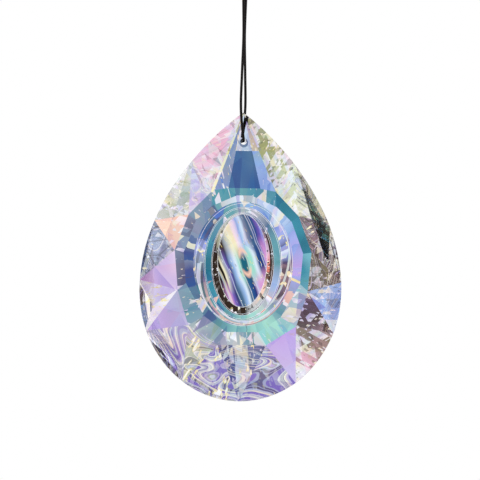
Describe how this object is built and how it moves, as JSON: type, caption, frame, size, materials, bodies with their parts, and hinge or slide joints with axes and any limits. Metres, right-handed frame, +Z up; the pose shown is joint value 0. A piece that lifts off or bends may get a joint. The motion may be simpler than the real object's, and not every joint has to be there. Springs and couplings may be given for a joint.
{
  "type": "crystal suncatcher",
  "caption": "Pear-shaped drop of clear cut crystal with an iridescent coating and an oval lens, on a thin black hanging cord with a tied eye.",
  "frame": {"origin": "inside of the cord's eye at its top, where the hook that carries the suncatcher bears", "axes": "+Z up along the hanging cord, -Y out of the drop's front face with the lens, +X to the right seen from the front"},
  "size_m": [0.0534, 0.0168, 0.121],
  "materials": {
    "crystal": "clear polished crystal with an iridescent coating",
    "cord": "black waxed cord"
  },
  "bodies": {
    "root": {"crystal_drop": "crystal", "hanging_cord": "cord"}
  },
  "joints": []
}
